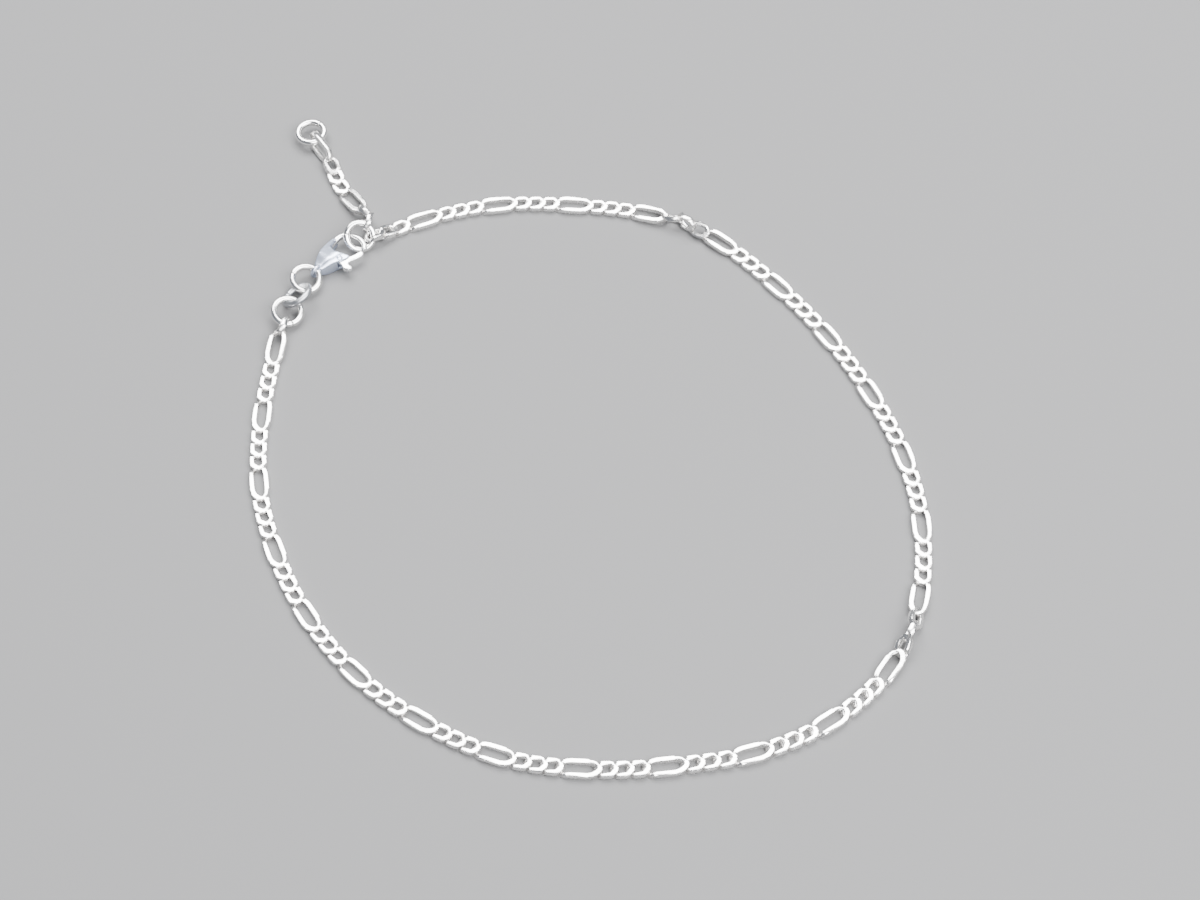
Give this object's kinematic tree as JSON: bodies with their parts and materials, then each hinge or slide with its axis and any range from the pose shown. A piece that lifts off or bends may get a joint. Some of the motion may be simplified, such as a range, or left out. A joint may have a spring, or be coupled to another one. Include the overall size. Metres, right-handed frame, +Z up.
{
  "type": "chain anklet",
  "caption": "Payal anklet of flattened figaro chain, closed by a lobster clasp with jump rings, with a short extension chain.",
  "frame": {"origin": "on the surface that it lies on, under the middle of its bounding box", "axes": "+Z up, +Y away from the viewer of the picture, +X to the viewer's right"},
  "size_m": [0.0848, 0.1014, 0.0032],
  "materials": {
    "chain_silver": "polished sterling silver, links filed flat on both faces",
    "ring_silver": "polished sterling silver round wire",
    "grey_silver": "polished silver, slightly darker and greyer",
    "cast_silver": "cast silver, tumbled to a satin polish"
  },
  "bodies": {
    "root": {"main_chain_a": "chain_silver", "main_chain_b": "chain_silver", "extension_chain": "chain_silver", "chain_ring": "ring_silver", "clasp_ring": "ring_silver", "joining_ring": "grey_silver", "catch_ring": "ring_silver", "end_ring": "ring_silver", "clasp_body": "cast_silver", "clasp_pin": "grey_silver"},
    "lever": {"clasp_lever": "cast_silver"}
  },
  "joints": [
    {"name": "lever_hinge", "type": "hinge", "parent": "root", "child": "lever", "pos_m": [-0.03093, 0.02627, 0.00126], "axis": [0, 0, 1], "range_deg": [0, 11], "stiffness_Nm_per_rad": 0.001, "springref_deg": -5.73}
  ]
}
